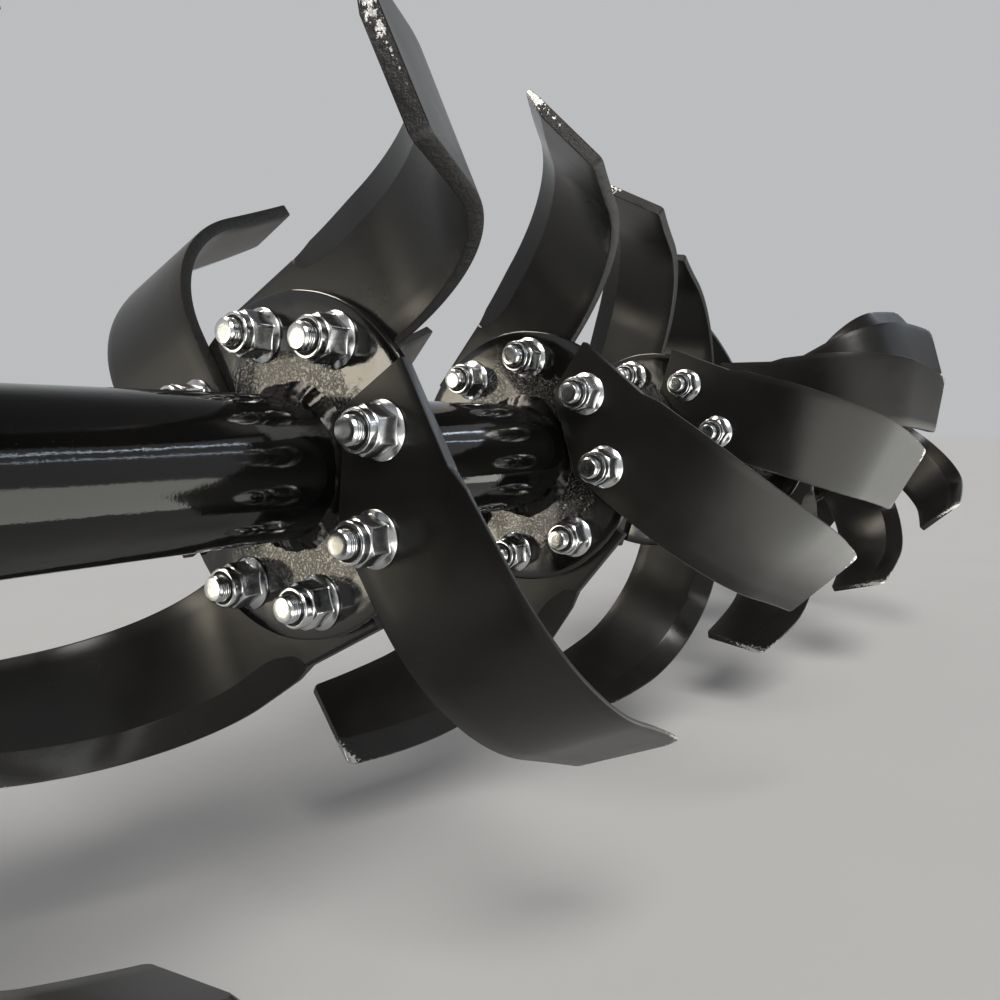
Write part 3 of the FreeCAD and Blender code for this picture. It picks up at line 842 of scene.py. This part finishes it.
for i, (x, first_angle) in enumerate(zip(flange_x, FLANGE_ANGLES)):
    disc = add_piece(f"flange_{i + 1}", flange_mesh(x, i), "rotor", finishes["flange_enamel"])
    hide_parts("flanges")
    for side, face in ((-1, x), (1, x + FLANGE_THICKNESS)):
        bead = add_piece(f"weld_{i + 1}_{'left' if side < 0 else 'right'}",
                         weld_mesh(face, side, first_angle, 2 * i + (side > 0)), "rotor",
                         weld_finish)
        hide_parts("flange_welds")
    for quarter in range(4):
        side = 1 if quarter % 2 else -1
        angle = first_angle + 90 * quarter
        seat = x - TINE_THICKNESS if side > 0 else x
        root = seat if side > 0 else x + clamped
        name = f"tine_{i + 1}_{quarter + 1}"
        tine = add_piece(name, tine_mesh(name, 4 * i + quarter, side, angle, root), "rotor",
                         finishes["tine_enamel"])
        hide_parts(tine_nodes[side])
        for hole, u in (("a", -BOLT_SPACING / 2), ("b", BOLT_SPACING / 2)):
            label = f"{i + 1}_{quarter + 1}{hole}"
            turned_nut = bolt_place(seat, angle, u, random.uniform(0, 1))
            turned_bolt = bolt_place(seat, angle, u, random.uniform(0, 6))
            for kind, mesh, slot, place in (("nut_", nut, "zinc_steel", turned_nut),
                                            # dark insert: partly a real locking insert, partly
                                            # painted shade in the collar
                                            ("nut_insert_", insert_and_shade, "seal_rubber", turned_nut),
                                            ("bolt_end_", bolt_end, "zinc_steel", turned_bolt),
                                            ("bolt_head_", bolt_head, "zinc_steel", turned_bolt)):
                add_piece(kind + label, mesh, "rotor", finishes[slot], place)

screw = head_mesh(COVER_SCREW_FLATS, COVER_SCREW_HEIGHT, 0.0, COVER_SCREW_FLATS / 2 + 0.4)
for end, out_turn in ((0, math.pi), (1, 0.0)):
    side = 1 if end else -1
    x = corner("bearing_housings", end).x + side * COVER_THICKNESS
    for i in range(COVER_SCREW_COUNT):
        around = Matrix.Rotation(math.radians(45 + 360 / COVER_SCREW_COUNT * i), 4, "X")
        place = (Matrix.Translation((x, 0, 0)) @ around
                 @ Matrix.Translation((0, COVER_SCREW_ROW, 0)) @ Matrix.Rotation(out_turn, 4, "Z"))
        add_piece(f"cover_screw_{end + 1}_{i + 1}", screw, "housings", finishes["zinc_steel"],
                  place)


# Floor, light and camera

bpy.ops.mesh.primitive_plane_add(size=FLOOR_SIZE, location=(FLOOR_MIDDLE, 0.0, -FLOOR_DROP))
floor = bpy.context.object
floor.name = "studio_floor"
floor.data.materials.append(floor_paint())

world = bpy.data.worlds.new("studio")
world.use_nodes = True
bpy.context.scene.world = world


def shade_world(low, high, from_height, to_height):
    """Fades the studio from a pale colour low down to a darker one overhead."""
    sky = world.node_tree
    height = sky.nodes.new("ShaderNodeSeparateXYZ")
    fade = sky.nodes.new("ShaderNodeMapRange")
    fade.interpolation_type = "SMOOTHSTEP"
    fade.inputs["From Min"].default_value = from_height
    fade.inputs["From Max"].default_value = to_height
    shade = sky.nodes.new("ShaderNodeMix")
    shade.data_type = "RGBA"
    shade.inputs[6].default_value = low
    shade.inputs[7].default_value = high
    place = sky.nodes.new("ShaderNodeTexCoord")
    sky.links.new(place.outputs["Generated"], height.inputs[0])
    sky.links.new(height.outputs["Z"], fade.inputs["Value"])
    sky.links.new(fade.outputs["Result"], shade.inputs[0])
    sky.links.new(shade.outputs[2], sky.nodes["Background"].inputs["Color"])


shade_world((0.50, 0.51, 0.52, 1.0), (0.10, 0.10, 0.11, 1.0), 0.46, 0.85)


def add_light(lamp, place, target):
    """Puts a lamp at a place, aimed at a target and hidden from the camera."""
    holder = bpy.data.objects.new(lamp.name, lamp)
    bpy.context.scene.collection.objects.link(holder)
    holder.location = place
    aim = Vector(target) - Vector(place)
    holder.rotation_euler = aim.to_track_quat("-Z", "Y").to_euler()
    holder.visible_camera = False
    return holder


def add_card(name, place, target, size, power, color):
    """A bright card that only shows in gloss, so that it leaves the floor evenly lit."""
    lamp = bpy.data.lights.new(name, "AREA")
    lamp.shape = "RECTANGLE"
    lamp.size = size[0]
    lamp.size_y = size[1]
    lamp.energy = power
    lamp.color = color
    add_light(lamp, place, target).visible_diffuse = False


sun = bpy.data.lights.new("soft_sun", "SUN")
sun.energy = 2.3
sun.angle = math.radians(35)
sun.color = (1.0, 0.98, 0.94)
add_light(sun, (-0.9, -1.0, 1.6), (0.0, 0.0, 0.0)).visible_glossy = False

add_card("key_card", (-0.9, -1.0, 1.6), (0.6, 0, 0), (1.0, 1.0), 40, (1.0, 0.98, 0.94))
add_card("left_near_card", (-0.44, 0.80, -0.06), (0.395, 0, -0.06), (0.22, 0.47), 2.2,
         (1.0, 0.91, 0.70))
add_card("left_far_card", (-0.70, 0.80, -0.03), (0.645, 0, -0.03), (0.13, 0.53), 1.6,
         (1.0, 0.92, 0.78))
add_card("top_card", (0.3, 0.9, 1.5), (0.6, 0, 0), (1.4, 0.5), 26, (1.0, 0.90, 0.78))
add_card("right_upper_card", (2.2, -1.18, 1.22), (0.8, 0, 0), (3.2, 0.04), 5, (0.75, 0.86, 1.0))
add_card("right_lower_card", (2.2, -1.44, 0.90), (0.8, 0, 0), (3.2, 0.03), 3, (0.70, 0.82, 1.0))
add_card("ground_card", (1.0, -1.4, -0.29), (1.0, -1.4, 1.0), (4.0, 2.2), 70, (1.0, 1.0, 0.93))

camera = bpy.data.objects.new("camera", bpy.data.cameras.new("camera"))
bpy.context.scene.collection.objects.link(camera)
yaw = math.radians(CAMERA_YAW)
pitch = math.radians(CAMERA_PITCH)
forward = Vector((math.cos(yaw) * math.cos(pitch), math.sin(yaw) * math.cos(pitch),
                  math.sin(pitch)))
right = Vector((math.sin(yaw), -math.cos(yaw), 0.0))
up = right.cross(forward)
axes = Matrix((right, up, -forward)).transposed().to_4x4()
camera.matrix_world = Matrix.Translation(Vector(CAMERA_PLACE)) @ axes
camera.data.lens = CAMERA_LENS
camera.data.sensor_width = CAMERA_SENSOR
camera.data.sensor_fit = "HORIZONTAL"
camera.data.clip_start = CAMERA_CLIP
bpy.context.scene.camera = camera
bpy.context.scene.view_settings.view_transform = "Standard"
